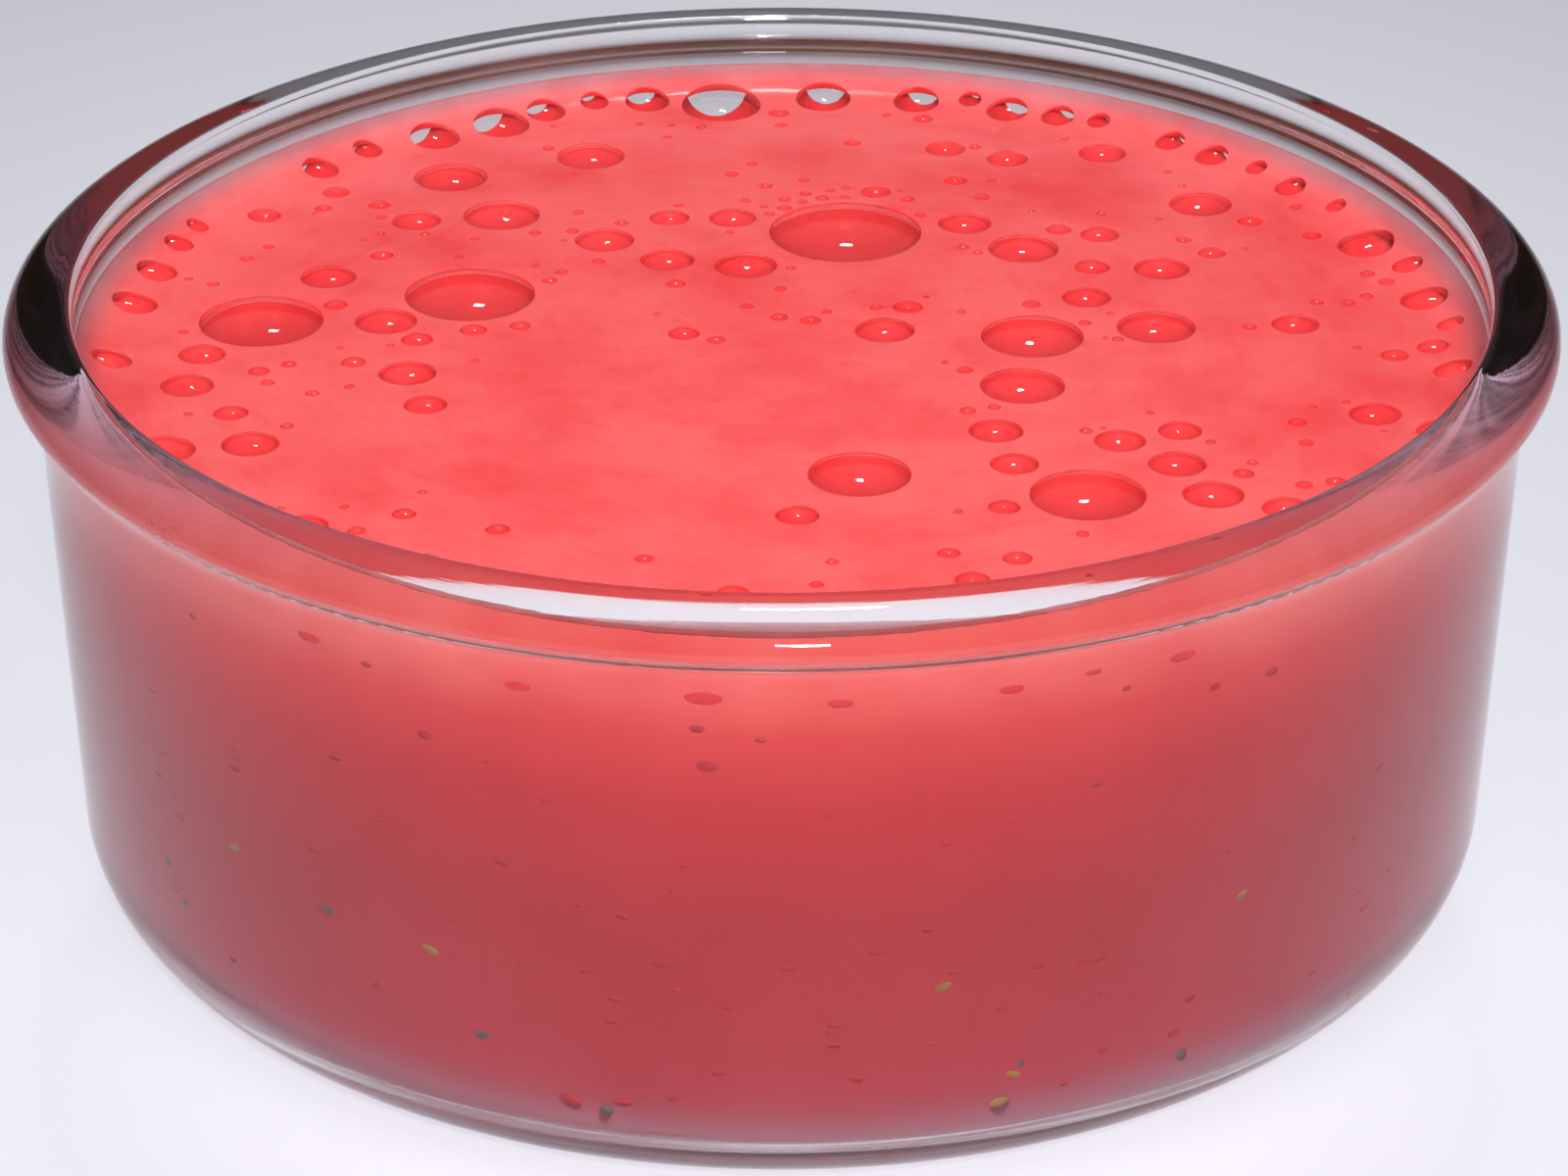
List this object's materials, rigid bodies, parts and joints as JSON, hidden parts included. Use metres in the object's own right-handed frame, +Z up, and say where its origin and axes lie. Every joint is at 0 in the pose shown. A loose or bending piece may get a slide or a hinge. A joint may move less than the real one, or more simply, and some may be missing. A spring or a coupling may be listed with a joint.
{
  "type": "strawberry smoothie in a low glass bowl",
  "caption": "Round low bowl of clear pressed glass with a flared lip, filled almost to the brim with coral red strawberry smoothie under loose bubbles.",
  "frame": {"origin": "centre of the bowl's flat base, on the surface it stands on", "axes": "+Z up, along the axis of the bowl; X and Y are level, and the picture's camera stands on the -Y side"},
  "size_m": [0.104, 0.104, 0.043],
  "materials": {
    "clear_glass": "clear polished pressed glass, about 2.5 to 4 mm thick",
    "strawberry_smoothie": "wet, opaque coral red drink with loose bubbles on top"
  },
  "bodies": {
    "root": {"glass_bowl": "clear_glass", "smoothie": "strawberry_smoothie"}
  },
  "joints": []
}
